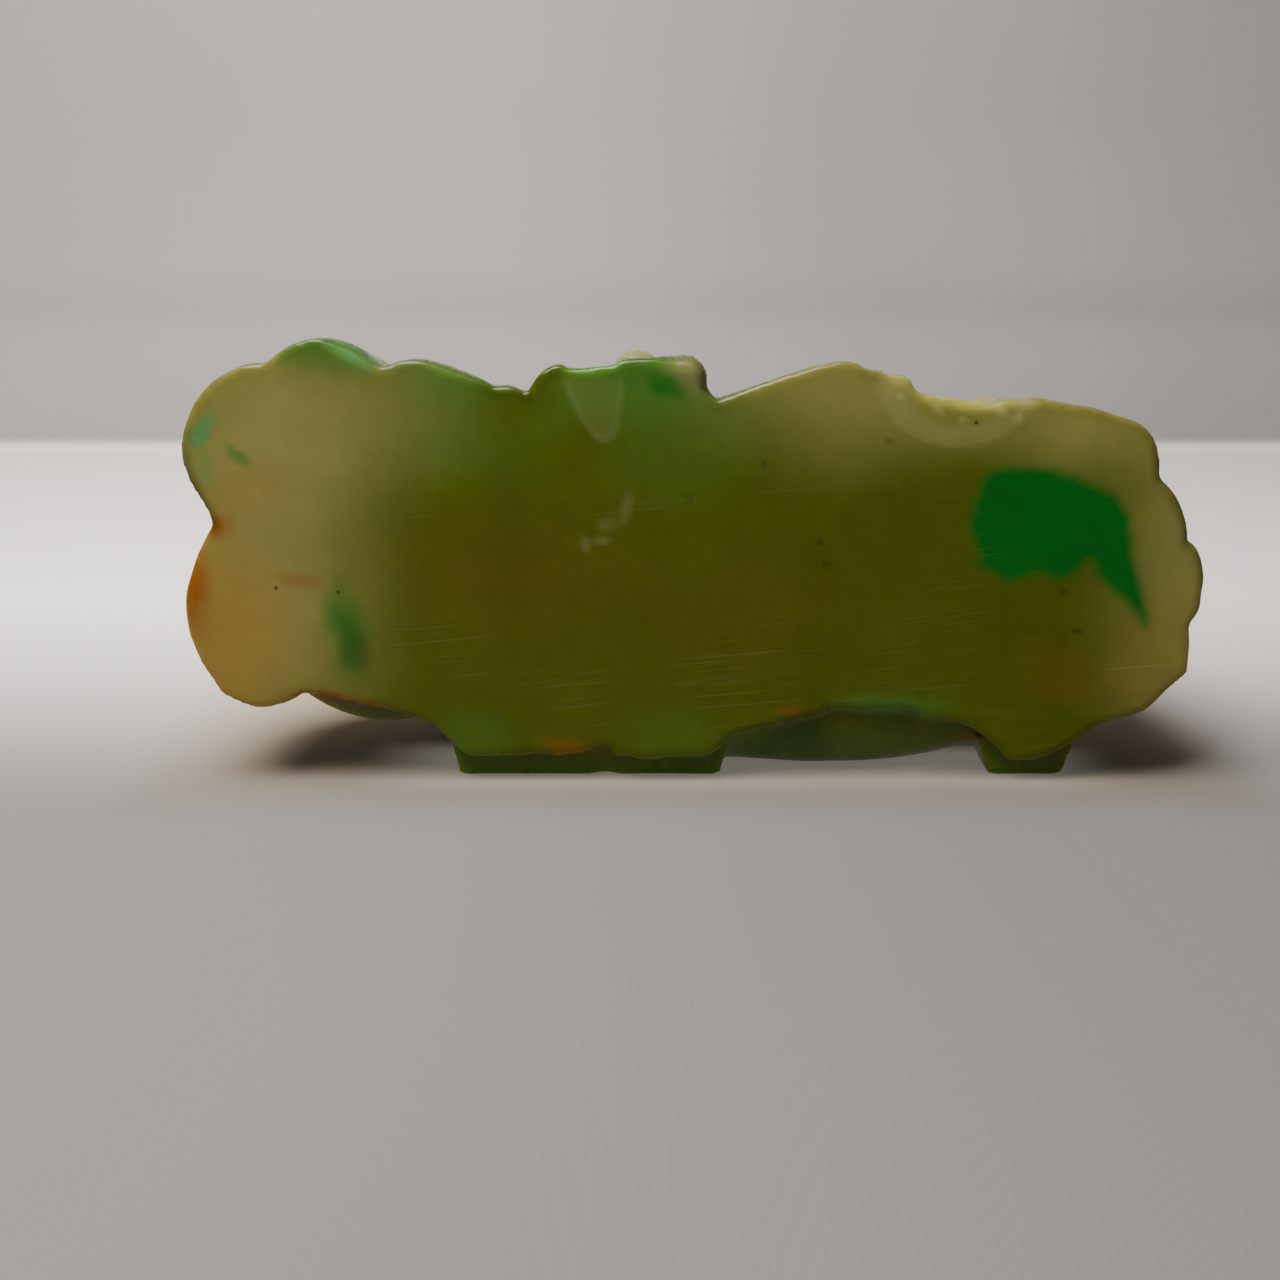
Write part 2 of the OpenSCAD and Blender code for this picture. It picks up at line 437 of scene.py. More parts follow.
def muzzle_field(p):
    """The wrinkled upper lip with a fang under it."""
    field = ellipsoid(p, (41.5, -5, 20.6), (8, 15.6, 4.7))
    field = smooth_union(field, ellipsoid(p, (40, 5.2, 19.8), (5.4, 5.2, 3.9)), 1.0)
    for i in range(3):
        field = field + line_cut(p, (46.2 - 2.6 * i, 22.4), (44.4 - 2.8 * i, 18.6), depth=0.35,
                                 width=0.34, bow=0.4)
    fang = round_cone(p, (43.2, 7.0, 17.4), (42.6, 7.2, 14.6), 1.2, 0.35)
    return smooth_union(field, fang, 0.4)


def nose_field(p):
    """The nose with one nostril on the carved side."""
    field = ellipsoid(p, (43.2, -3, 27.2), (4.3, 10.6, 4.2), -20)
    wing = ellipsoid(p, (43.8, 5.2, 25.6), (2.9, 2.8, 2.5))
    field = smooth_union(field, wing, 0.8)
    nostril = ellipsoid(p, (45.4, 6.6, 25.2), (1.2, 1.6, 1.0))
    return smooth_cut(field, -nostril, 0.5)


def jaw_field(p):
    """The lower jaw with the line of its lip."""
    field = ellipsoid(p, (41.5, -5, 13.4), (7.5, 13.2, 3.5))
    return field + line_cut(p, (48.5, 13.6), (36, 12.2), depth=0.4, bow=-0.6)


def beard_field(p):
    """Three locks that hang from the jaw."""
    field = ellipsoid(p, (39, -6, 8.4), (8.4, 11.7, 4.5), 18)
    u, w = turned(p[0] - 39, p[2] - 8.4, 18)
    return field + 0.5 * (1 - np.abs(np.sin(u * 0.75 + w * 0.35))) ** 2 * (p[1] > -9)


def brow_field(p):
    """A brow of three flame-like locks that end in a curl."""
    field = round_cone(p, (42.2, 7.2, 29.0), (36.2, 10, 31.4), 1.5, 1.8)
    field = smooth_union(field, round_cone(p, (41.0, 8.6, 28.4), (34.6, 11.2, 29.4), 1.0, 1.3), 0.3)
    field = np.minimum(field, round_cone(p, (38.6, 9.6, 30.6), (33.0, 10.4, 33.0), 1.2, 0.7))
    field = smooth_union(field, ellipsoid(p, (35.2, 10.4, 31.2), (2.4, 2.3, 2.4)), 0.4)
    return field + curl(p, (35.2, 31.2), 1.7, 2.6, depth=0.5, width=0.32)


def eye_field(p):
    """The eyeball inside a rolled lid, with a drilled pupil."""
    x, y, z = 39.4, 10.5, 26
    ball = ellipsoid(p, (x, y, z), (2.15, 2.2, 2.15))
    around = np.hypot(np.hypot(p[0] - x, (p[2] - z) * 1.15) - 2.1, p[1] - y - 0.4) - 0.42
    pupil = ellipsoid(p, (x + 0.3, y + 2.2, z), (0.7, 0.8, 0.7))
    return smooth_union(smooth_cut(ball, -pupil, 0.2), around, 0.25)


def ear_field(p):
    """A leaf-shaped ear, hollowed on the carved side."""
    field = ellipsoid(p, (25.6, 10.2, 30.6), (5.7, 2.9, 3.1), -30)
    hollow = ellipsoid(p, (25.4, 13.2, 30.8), (4.0, 2.4, 1.6), -30)
    return smooth_cut(field, -hollow, 0.6)


def horn_field(p):
    """A horn that lies back along the head, with growth rings."""
    field = round_cone(p, (34, 6.2, 33.6), (26, 5.2, 34.8), 2.3, 1.95)
    field = smooth_union(field, round_cone(p, (26, 5.2, 34.8), (18, 4, 36.6), 1.95, 1.1), 0.8)
    return field + 0.16 * (1 - np.abs(np.sin(p[0] * 1.35))) * (p[0] < 34.5)


def wing_field(p):
    """Feathers that fan back from a curled shoulder, each with a rib and barbs."""
    field = None
    root = np.array((7, 8.8, 27.5))
    for i in range(4):
        tip = np.array((-17 + i, 6 + 0.7 * i, 33.6 - 4.6 * i))
        feather = round_cone(p, root, tip, 3.6, 2.65)
        angle = math.degrees(math.atan2(tip[2] - root[2], tip[0] - root[0]))
        along, side = turned(p[0] - root[0], p[2] - root[2], angle)
        free = step(along, 5, 9)
        feather = feather + groove(side, 0.28, 0.3) * free
        barb = np.abs(np.sin((along - 1.1 * np.abs(side)) * 2.1))
        feather = feather + 0.17 * (1 - barb) ** 2 * free
        field = feather if field is None else np.minimum(field, feather)
    boss = ellipsoid(p, (7, 9.4, 27.5), (4.9, 3.5, 4.9))
    boss = boss + curl(p, (7, 27.5), 2.7, 5.0, hand=-1)
    return smooth_union(field, boss, 0.5)


def pearl_field(p):
    """The knob that shows above the top edge."""
    return ellipsoid(p, (-5.6, -5.4, 40.0), (2.65, 2.65, 2.65))


def tail_field(p):
    """Three curls of the tail over the rump."""
    lobes = [((-41.6, -9, 32.6), (5.4, 12.2, 7.6), 20, (-41.6, 33.0), 2.9, 1),
             ((-34.4, -9, 35.9), (7.1, 12.7, 7.2), -8, (-34.4, 36.4), 3.1, -1),
             ((-24.6, -9, 35.9), (6.5, 10.7, 4.8), -14, (-25.2, 36.0), 2.6, 1)]
    field = None
    for centre, radii, tilt, boss, pitch, hand in lobes:
        lobe = ellipsoid(p, centre, radii, tilt)
        lobe = lobe + curl(p, boss, pitch, 6.4, hand=hand, depth=0.65) * (p[1] > -8)
        field = lobe if field is None else np.minimum(field, lobe)
    return field


def ridge_field(p):
    """Knobs along the spine, joined by a low ridge."""
    field = round_cone(p, (-17.4, -4.5, 35.8), (-2.4, -4.5, 38.0), 1.1, 1.1)
    for i in range(4):
        knob = ellipsoid(p, (-17.4 + 5 * i, -4.5, 39 - 2.4 * (1 - i / 3) ** 2), (2.1, 2.1, 2.1))
        field = smooth_union(field, knob, 0.4)
    return field


# ---------------------------------------------------------------- colour of the stone

def linear(*srgb):
    """A colour of 0 to 255 in sRGB, as the renderer's linear values."""
    c = np.array(srgb, np.float32) / 255
    return np.where(c <= 0.04045, c / 12.92, ((c + 0.055) / 1.055) ** 2.4)


OLIVE = linear(84, 93, 2)
HONEY = linear(156, 151, 86)
PEACH = linear(162, 128, 60)
AMBER = linear(146, 84, 6)
LEAF = linear(74, 124, 44)
EMERALD = linear(2, 106, 18)
TURQUOISE = linear(76, 150, 86)
BROWN = linear(100, 82, 0)
RUST = linear(112, 60, 4)
BOTTLE = linear(34, 66, 4)
BONE = linear(124, 118, 80)
DARK = linear(36, 26, 8)
MILK = linear(190, 190, 140)

# Soft veins and clouds in the stone, some of them painted glow where light shines through the thin
# stone: (x, z, half width, half height, tilt), colour, strength, and how ragged the edge is. They
# run through the stone from back to front.
CLOUDS_AND_GLOW = [
    # lighter ends and top: the stone's own honey colour with painted glow, as light shines through
    # where the stone is thin
    ((-44, 24, 19, 34, 0), HONEY, 0.75, 0.25),
    ((-33, 38, 18, 12, 10), HONEY, 0.55, 0.25),
    ((-48, 16, 13, 16, 0), PEACH, 0.75, 0.2),
    ((-44, 30, 10, 6, 20), PEACH, 0.35, 0.2),
    ((51, 22, 15, 30, 0), HONEY, 0.75, 0.25),
    ((14, 41, 22, 12, 0), HONEY, 0.7, 0.2),
    ((38, 38, 20, 10, 0), HONEY, 0.7, 0.2),
    ((46, 14, 7, 9, 0), PEACH, 0.3, 0.2),
    # green along the top
    ((-33, 45, 9, 5, 0), LEAF, 0.85, 0.3),
    ((-36, 43.6, 5, 2.6, 10), LEAF, 0.6, 0.3),
    ((-23, 41, 8, 5, -8), LEAF, 0.6, 0.3),
    ((-6, 42, 13, 9, 0), LEAF, 0.8, 0.3),
    ((-1, 35, 11, 9, 0), LEAF, 0.35, 0.3),
    ((1.0, 41.8, 5.4, 3.0, -12), BONE, 0.85, 0.3),
    ((-3.0, 40.2, 3.0, 1.3, -30), EMERALD, 0.8, 0.5),
    ((-29.5, 43.6, 2.2, 1.8, 0), TURQUOISE, 0.7, 0.3),
    # the thick middle, browner to the left
    ((-18, 22, 18, 11, 0), BROWN, 0.5, 0.3),
    ((4, 18, 20, 9, 0), BROWN, 0.35, 0.3),
    ((-22, 34.5, 13, 6, 0), LEAF, 0.3, 0.3),
    # green marks
    ((-34.4, 16.6, 3.2, 6.8, 4), EMERALD, 0.75, 0.5),
    ((-33.6, 14.0, 2.0, 4.4, 4), BOTTLE, 0.4, 0.5),
    ((-46.6, 35.8, 2.6, 1.3, 52), TURQUOISE, 0.9, 0.5),
    ((-46.6, 32.0, 1.5, 2.6, 0), TURQUOISE, 0.35, 0.5),
    ((-43.4, 33.6, 2.3, 0.9, -48), LEAF, 0.8, 0.6),
    ((-32.2, 42.8, 3.4, 1.2, -38), TURQUOISE, 0.55, 0.4),
    # amber and rust near the rims
    ((-49.2, 22, 2.5, 8.5, 0), AMBER, 0.85, 0.3),
    ((-50.4, 20.5, 1.5, 9.0, 0), RUST, 0.6, 0.2),
    ((-46.8, 26.8, 3.0, 1.8, 0), AMBER, 0.85, 0.3),
    ((-38.5, 21.4, 3.6, 1.2, -10), AMBER, 0.4, 0.5),
    ((-36, 8.8, 6.5, 1.5, -6), AMBER, 0.7, 0.4),
    ((-12, 3.4, 5.0, 1.7, -14), AMBER, 0.45, 0.4),
    ((36.5, 11.5, 7.5, 4.0, -20), AMBER, 0.22, 0.4),
    ((9.8, 7.8, 2.0, 0.9, 0), AMBER, 0.5, 0.3),
    # darker foot
    ((-22, 5, 6.5, 5.5, 0), LEAF, 0.4, 0.3),
    ((-2, 5, 9, 5, 0), LEAF, 0.3, 0.4),
    ((20, 8.2, 9, 2.4, 0), LEAF, 0.7, 0.4),
    ((10, 3, 8, 5, 0), BOTTLE, 0.8, 0.3),
    ((28.8, 3.6, 3.4, 2.2, 0), RUST, 0.75, 0.5),
]
# The emerald mark's outline, as (x, z) corners.
EMERALD_MARK = [(26.7, 26.5), (26.7, 29.4), (27.5, 31.4), (29.8, 32.6), (33.6, 32.5),
                (37.1, 31.2), (40.6, 29.4), (42.0, 27.5), (42.7, 23.5), (44.2, 19.5),
                (44.8, 16.6), (42.7, 19.0), (39.7, 21.5), (38.6, 23.6), (37.2, 22.4),
                (35.6, 22.0), (30.8, 21.3), (27.7, 23.0)]
# Small flecks on the ground face, with painted glints in the shell-shaped break: (x, z, half width,
# half height, tilt), colour, strength.
FLECKS_AND_GLINTS = [
    ((-9.0, 25.4, 1.3, 0.6, 12), MILK, 0.16),
    ((-6.6, 28.6, 0.9, 2.4, -12), MILK, 0.1),
    ((-8.4, 27.0, 1.6, 1.1, 20), MILK, 0.08),
    ((-10.6, 25.0, 0.7, 1.3, 10), MILK, 0.12),
    # painted glints where the shell-shaped break sparkles
    ((22.6, 38.0, 1.0, 0.5, -30), MILK, 0.3),
    ((25.0, 37.0, 0.6, 0.4, 0), MILK, 0.35),
    ((28.6, 37.8, 0.7, 0.5, 0), MILK, 0.4),
    ((30.2, 37.2, 0.5, 0.6, 0), MILK, 0.4),
    ((19.0, 39.2, 0.6, 0.5, 0), MILK, 0.35),
    ((12.1, 25.2, 0.6, 0.45, 0), DARK, 0.6),
    ((12.7, 23.0, 0.6, 0.4, 20), DARK, 0.5),
    ((-0.6, 29.6, 0.5, 0.4, 0), DARK, 0.35),
    ((18.2, 35.0, 0.6, 0.4, 0), DARK, 0.4),
    ((6.5, 32.8, 0.5, 0.4, 0), DARK, 0.4),
    ((36.1, 20.2, 0.6, 0.4, 0), DARK, 0.5),
    ((38.0, 16.2, 0.8, 0.4, -20), DARK, 0.5),
]
# How far each cloud reaches from the ground face into the stone.
CLOUD_DEPTH = 17.0
# How much painted shade darkens the stone along the thin top edge, holding down the light that
# falls on it from above.
EDGE_PAINTED_SHADE = 0.68
# How much of the carved front's own lighter and greener colour covers the clouds.
FRONT_SHARE = 0.55


def blend(color, tone, amount):
    """Moves each point's colour towards a tone by its own amount."""
    return color + (tone - color) * amount[:, None]


def cloudy_and_glowing(x, y, z, reach):
    """The stone's olive with its clouds, the painted glow of its thin ends and top, and the emerald
    mark in it.
    """
    drift = 3.2 * rough_noise(x, y, z, 9.0, 21)
    color = np.tile(OLIVE, (len(x), 1))
    for i, (spot, tone, strength, ragged) in enumerate(CLOUDS_AND_GLOW):
        size = min(spot[2], spot[3])
        edge = ragged * size * 0.5 * rough_noise(x, y, z, max(size * 0.8, 1.2), 40 + i)
        u, w = turned(x + edge + 0.1 * drift - spot[0], z + edge - spot[1], spot[4])
        away = np.hypot(u / spot[2], w / spot[3])
        color = blend(color, tone, strength * (1 - step(away, 0.15, 1.0)) * reach)
    wander = 0.5 * rough_noise(x, y, z, 3.0, 90)
    emerald = outline_distance(x + wander, z - wander, EMERALD_MARK)
    return blend(color, EMERALD, (1 - step(emerald, -0.7, 0.9)) * reach)


def stone_color(x, y, z):
    """The colour of the stone at points given in millimetres, with a painted glow at the feet and
    painted shade along the top edge.
    """
    reach = 1 - 0.6 * step(y - FACE_Y, CLOUD_DEPTH * 0.5, CLOUD_DEPTH * 1.4)
    color = face_marks(cloudy_and_glowing(x, y, z, reach), x, y, z)
    # Painted glow: the feet are lighter and greener near the floor, standing in for light that
    # comes through the stone there.
    low = (1 - step(z, 3.0, 8.0)) * step(y - FACE_Y, 0.3, 1.0) * (1 - step(y, -6, -2))
    color = blend(color, LEAF, 0.35 * low)
    # The carved front is lighter, with green in the wing, the tail and the mane.
    veins = step(rough_noise(x, y, z, 14.0, 60), 0.1, 0.8)[:, None]
    color = blend(color, HONEY * (1 - veins) + LEAF * veins, FRONT_SHARE * step(y, -6, 6))
    cloud = 1 + 0.08 * rough_noise(x, y, z, 6.0, 70) + 0.03 * noise(x, y, z, 1.2, 71)
    # Painted shade: the stone is darker along the outline's top edge, above about 14 mm.
    edge = step(outline_distance(x, z, OUTLINE), -1.4, 0.2) * step(z, 14, 24)
    return color * (cloud * (1 - EDGE_PAINTED_SHADE * edge))[:, None]


def face_marks(color, x, y, z):
    """The scars' rims with painted highlights, flecks, painted glints and specks, which lie in the
    ground face only.
    """
    shallow = 1 - step(y - FACE_Y, 0.8, 2.0)
    tongue = tongue_scar(x, z)
    under_edge = 1 - step(z, 40.4, 41.2)
    # Painted highlight: a pale line along the tongue-shaped scar's rim, where its edge would catch
    # the light.
    rim = (1 - step(np.abs(tongue - 0.05), 0.1, 0.45)) * under_edge
    color = blend(color, MILK, 0.13 * rim * shallow)
    color = blend(color, HONEY, 0.16 * (1 - step(tongue, -0.4, 0)) * under_edge * shallow)
    shell = shell_scar(x, z)
    # Painted highlight: a pale crescent along the rim of the shell-shaped break.
    crescent_highlight = step(shell, 0.55, 0.8) * (1 - step(shell, 0.97, 1.03))
    color = blend(color, MILK, 0.16 * crescent_highlight * shallow)
    color = blend(color, BROWN, 0.35 * (1 - step(shell, 0.2, 0.6)) * shallow)
    for spot, tone, strength in FLECKS_AND_GLINTS:
        u, w = turned(x - spot[0], z - spot[1], spot[4])
        away = np.hypot(u / spot[2], w / spot[3])
        color = blend(color, tone, strength * (1 - step(away, 0.3, 1.0)) * shallow)
    return color


# ---------------------------------------------------------------- materials

def node_with(tree, kind, **values):
    """A new node with the given values on its inputs."""
    made = tree.nodes.new(kind)
    for key, value in values.items():
        made.inputs[key.title()].default_value = value
    return made


def noise_at(tree, place, scale, detail):
    """A noise texture in space, as a value of about 0.3 to 0.7."""
    made = node_with(tree, "ShaderNodeTexNoise", scale=scale, detail=detail)
    tree.links.new(place, made.inputs["Vector"])
    return made.outputs["Fac"]


def math_node(tree, operation, a, b=None):
    """One sum on two values, each a number or another node's output."""
    made = tree.nodes.new("ShaderNodeMath")
    made.operation = operation
    for socket, value in zip(made.inputs, (a, b)):
        if value is None:
            continue
        if isinstance(value, (int, float)):
            socket.default_value = value
        else:
            tree.links.new(value, socket)
    return made.outputs[0]


def product(tree, first, *others):
    """Several values multiplied together."""
    for value in others:
        first = math_node(tree, "MULTIPLY", first, value)
    return first


def ramp(tree, value, low, high, to_low=0.0, to_high=1.0):
    """A smooth change from to_low to to_high while the value goes from low to high."""
    made = tree.nodes.new("ShaderNodeMapRange")
    made.interpolation_type = "SMOOTHSTEP"
    tree.links.new(value, made.inputs["Value"])
    made.inputs["From Min"].default_value = low
    made.inputs["From Max"].default_value = high
    made.inputs["To Min"].default_value = to_low
    made.inputs["To Max"].default_value = to_high
    return made.outputs["Result"]


def mix_color(tree, amount, a, b, mode="MIX"):
    """Colour b over colour a by an amount."""
    made = tree.nodes.new("ShaderNodeMix")
    made.data_type = "RGBA"
    made.blend_type = mode
    for socket, value in ((made.inputs[0], amount), (made.inputs[6], a), (made.inputs[7], b)):
        if isinstance(value, (int, float)):
            socket.default_value = value
        elif isinstance(value, (tuple, list)):
            socket.default_value = (*value, 1)
        else:
            tree.links.new(value, socket)
    return made.outputs[2]


def scratch_layer(tree, place, angle, across, along, low, high, seed):
    """Fine straight lines on the XZ plane at an angle, as a mask."""
    turn = tree.nodes.new("ShaderNodeMapping")
    turn.inputs["Rotation"].default_value = (0, math.radians(angle), 0)
    turn.inputs["Location"].default_value = (seed, seed, seed)
    tree.links.new(place, turn.inputs["Vector"])
    squeeze = tree.nodes.new("ShaderNodeMapping")
    squeeze.inputs["Scale"].default_value = (1 / (along * MM), 0, 1 / (across * MM))
    tree.links.new(turn.outputs[0], squeeze.inputs["Vector"])
    lines = tree.nodes.new("ShaderNodeTexNoise")
    lines.inputs["Scale"].default_value = 1.0
    lines.inputs["Detail"].default_value = 2.0
    tree.links.new(squeeze.outputs[0], lines.inputs["Vector"])
    return ramp(tree, lines.outputs["Fac"], low, high)


MOTTLE_DARK = (0.16, 0.14, 0.02)
MOTTLE_PALE = (0.62, 0.60, 0.30)
MOTTLE_SHARE = 0.06
SPECK = (0.03, 0.02, 0.005)
SCRATCH = (0.62, 0.62, 0.42)
# How much duller the ground face and its scratches are than the carved surfaces.
GROUND_DULLER = 0.16
SCRATCH_DULLER = 0.15
# How far red, green and blue light spread inside the stone, as shares of a scale in metres.
SPREAD = (1.0, 0.9, 0.35)
SPREAD_SCALE = 0.0035


def scratches(tree, place, parts, ground):
    """The polishing scratches of the ground face as a mask, strongest low in the middle."""
    fine = scratch_layer(tree, place, 7, 0.10, 14, 0.60, 0.72, 0.1)
    long = scratch_layer(tree, place, 5, 0.22, 40, 0.64, 0.70, 0.3)
    steep = scratch_layer(tree, place, 24, 0.16, 18, 0.68, 0.76, 0.7)
    lines = math_node(tree, "MAXIMUM", math_node(tree, "MAXIMUM", fine, long), steep)
    lower = ramp(tree, parts.outputs["Z"], 0.036, 0.012, 0.25, 1.0)
    worn = ramp(tree, noise_at(tree, place, 70.0, 2.0), 0.42, 0.62, 0.1, 1.0)
    inner = ramp(tree, parts.outputs["X"], -0.040, -0.026)
    return product(tree, lines, lower, ground, worn, inner)


def stone_surface_color(tree, place, mottle, lines):
    """The mesh's own colour with mottling, dark specks and pale scratches over it."""
    tint = tree.nodes.new("ShaderNodeAttribute")
    tint.attribute_name = "stone"
    grain = mix_color(tree, ramp(tree, mottle, 0.35, 0.68), MOTTLE_DARK, MOTTLE_PALE)
    mottled = mix_color(tree, MOTTLE_SHARE, tint.outputs["Color"], grain, "SOFT_LIGHT")
    speck = node_with(tree, "ShaderNodeTexVoronoi", scale=110.0, randomness=1.0)
    tree.links.new(place, speck.inputs["Vector"])
    dots = ramp(tree, speck.outputs["Distance"], 0.03, 0.015)
    specked = mix_color(tree, product(tree, dots, 0.75), mottled, SPECK)
    return mix_color(tree, product(tree, lines, 0.10), specked, SCRATCH)


def stone_normal(tree, place, lines):
    """Slight waves from polishing, with the scratches cut into them."""
    waves = node_with(tree, "ShaderNodeBump", strength=0.18, distance=0.00025)
    tree.links.new(noise_at(tree, place, 260.0, 4.0), waves.inputs["Height"])
    cuts = node_with(tree, "ShaderNodeBump", strength=0.3, distance=0.00004)
    cuts.invert = True
    tree.links.new(lines, cuts.inputs["Height"])
    tree.links.new(waves.outputs[0], cuts.inputs["Normal"])
    return cuts.outputs[0]


def stone_material(name, roughness, gloss):
    """Translucent stone, coloured from the piece's own colour attribute."""
    made = bpy.data.materials.new(name)
    made.use_nodes = True
    tree = made.node_tree
    shader = tree.nodes["Principled BSDF"]
    place = tree.nodes.new("ShaderNodeTexCoord").outputs["Object"]
    parts = tree.nodes.new("ShaderNodeSeparateXYZ")
    tree.links.new(place, parts.inputs[0])

    # 1 on the ground face, 0 on the carved and polished surfaces
    ground = ramp(tree, parts.outputs["Y"], (FACE_Y + 0.06) * MM, (FACE_Y + 0.02) * MM)
    lines = scratches(tree, place, parts, ground)
    mottle = noise_at(tree, place, 900.0, 5.0)
    color = stone_surface_color(tree, place, mottle, lines)
    tree.links.new(color, shader.inputs["Base Color"])
    shine = math_node(tree, "ADD", product(tree, ground, GROUND_DULLER), roughness)
    shine = math_node(tree, "ADD", shine, product(tree, lines, SCRATCH_DULLER))
    uneven = ramp(tree, mottle, 0.3, 0.7, -0.03, 0.05)
    tree.links.new(math_node(tree, "ADD", shine, uneven), shader.inputs["Roughness"])
    tree.links.new(stone_normal(tree, place, lines), shader.inputs["Normal"])

    shader.inputs["Subsurface Weight"].default_value = 0.85
    shader.inputs["Subsurface Radius"].default_value = SPREAD
    shader.inputs["Subsurface Scale"].default_value = SPREAD_SCALE
    shader.inputs["IOR"].default_value = 1.5
    shader.inputs["Specular IOR Level"].default_value = gloss
    return made


# ---------------------------------------------------------------- meshing

def mesh_of(field, low, voxel):
    """Points in millimetres and faces of the field's zero surface."""
    band = BAND * voxel
    field = np.clip(field, -band, band).astype(np.float32)
    for axis in range(3):
        edge = [slice(None)] * 3
        for end in (0, -1):
            edge[axis] = end
            field[tuple(edge)] = band
    grid = openvdb.FloatGrid(band)
    grid.copyFromArray(field)
    points, quads = grid.convertToQuads(0.0)
    return low + points * voxel, quads


def vertex_places(mesh):
    """The mesh's points, as rows in metres."""
    co = np.empty(len(mesh.vertices) * 3, np.float32)
    mesh.vertices.foreach_get("co", co)
    return co.reshape(-1, 3)


def signed_volume(mesh):
    """The mesh's volume, negative if its faces look inward."""
    co = vertex_places(mesh).astype(np.float64)
    mesh.calc_loop_triangles()
    tri = np.array([t.vertices[:] for t in mesh.loop_triangles])
    a, b, c = co[tri[:, 0]], co[tri[:, 1]], co[tri[:, 2]]
    return np.einsum("ij,ij->i", a, np.cross(b, c)).sum() / 6


def paint_stone(mesh, tone):
    """Keeps the stone's colour on each of the mesh's points; a tone covers most of it."""
    colors = np.ones((len(mesh.vertices), 4), np.float32)
    colors[:, :3] = np.clip(stone_color(*(vertex_places(mesh) / MM).T), 0, 1)
    if tone is not None:
        colors[:, :3] += (tone - colors[:, :3]) * TONE_SHARE
    paint = mesh.color_attributes.new("stone", "FLOAT_COLOR", "POINT")
    paint.data.foreach_set("color", colors.ravel())


def grid_over(nodes, voxel):
    """The lowest corner and the points of a grid over some CAD nodes."""
    low, high = box_mm(*nodes)
    low, high = low - MARGIN - np.array(ROOTS.get(nodes[0], (0, 0, 0))), high + MARGIN
    axes = [np.arange(a, b + voxel, voxel, dtype=np.float32) for a, b in zip(low, high)]
    return low, np.meshgrid(*axes, indexing="ij")


def sculpt(name, field, nodes, material, voxel=VOXEL, tone=None):
    """Makes one closed piece from a field, in place of its CAD nodes; tone colours it over."""
    low, p = grid_over(nodes, voxel)
    solid = field(p)
    if "back_slab" not in nodes:
        solid = smooth_cut(solid, -p[2], 0.4)
        solid = np.maximum(solid, FACE_Y + ELEMENT_START - p[1])
    points, quads = mesh_of(solid, low, voxel)
    mesh = bpy.data.meshes.new(name)
    mesh.from_pydata((points * MM).tolist(), [], quads.tolist())
    mesh.validate()
    piece = bpy.data.objects.new(name, mesh)
    bpy.context.scene.collection.objects.link(piece)
    if signed_volume(mesh) < 0:
        mesh.flip_normals()
    mesh.shade_smooth()
    paint_stone(mesh, tone)
    mesh.materials.append(material)
    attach(piece, "root")
    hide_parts(*nodes)


ground = stone_material("ground_jade", 0.24, 0.2)
polished = stone_material("polished_jade", 0.24, 0.4)

sculpt("stone_back", body_field, ["back_slab", "torso", "belly", "rump", "shoulder"],
       ground)
ELEMENTS = [
    ("haunch", haunch_field), ("hind_foot", hind_foot_field), ("forearm", forearm_field),
    ("fore_paw", fore_paw_field), ("mane", mane_field), ("mane_curls", curls_field),
    ("head", head_field), ("muzzle", muzzle_field), ("nose", nose_field),
    ("lower_jaw", jaw_field), ("beard", beard_field), ("brow", brow_field),
    ("eye", eye_field), ("ear", ear_field), ("horn", horn_field), ("wing", wing_field),
    ("wing_pearl", pearl_field), ("tail", tail_field), ("spine_ridge", ridge_field),
    ("hind_toes", lambda p: toes_field(p, "hind_toes")),
    ("fore_toes", lambda p: toes_field(p, "fore_toes")),
]
# The pearl is paler than the stone round it.
OWN_TONES = {"wing_pearl": BONE}
for element, element_field in ELEMENTS:
    sculpt("carved_" + element, element_field, [element], polished,
           FINE_VOXEL, OWN_TONES.get(element))


# ---------------------------------------------------------------- stage

CLOTH_PALE = (0.745, 0.70, 0.665)
CLOTH_DARK = (0.715, 0.665, 0.635)
# Painted warm shadow: light that has come through the stone tints and darkens the cloth close round
# it.
GLOW_TINT = (0.80, 0.66, 0.42)
GLOW_STRENGTH = 0.75
# It also brightens a strip of cloth in front of the feet, on both sides of this X, with painted
# light that the cloth emits itself.
FRONT_GLOW_COLOR = (1.0, 0.93, 0.80, 1)
FRONT_GLOW_STRENGTH = 0.14
FRONT_GLOW_X = 0.005


def cloth_shade(tree, place, parts):
    """The cloth's colour with painted shade: least near the camera, where it hangs and towards the
    right, with a painted warm shadow round the stone.
    """
    # Painted shade: the cloth is darker near the camera, where it hangs up into the backdrop and
    # towards the right.
    near = ramp(tree, parts.outputs["Y"], -0.025, 0.06, 0.22, 1.2)
    far = ramp(tree, parts.outputs["Y"], -0.16, -0.30, 0.0, 0.9)
    near = math_node(tree, "MAXIMUM", near, far)
    hanging_shade = ramp(tree, parts.outputs["Z"], 0.0004, 0.003, 1.0, 0.38)
    across = ramp(tree, parts.outputs["X"], -0.06, 0.06, 1.05, 0.92)
    folds = ramp(tree, noise_at(tree, place, 9.0, 2.0), 0.35, 0.65)
    cloth = mix_color(tree, folds, CLOTH_DARK, CLOTH_PALE)
    dimmed = mix_color(tree, 1.0, cloth, product(tree, near, hanging_shade, across), "MULTIPLY")
    return mix_color(tree, stone_glow(tree, parts), dimmed, GLOW_TINT, "MULTIPLY")


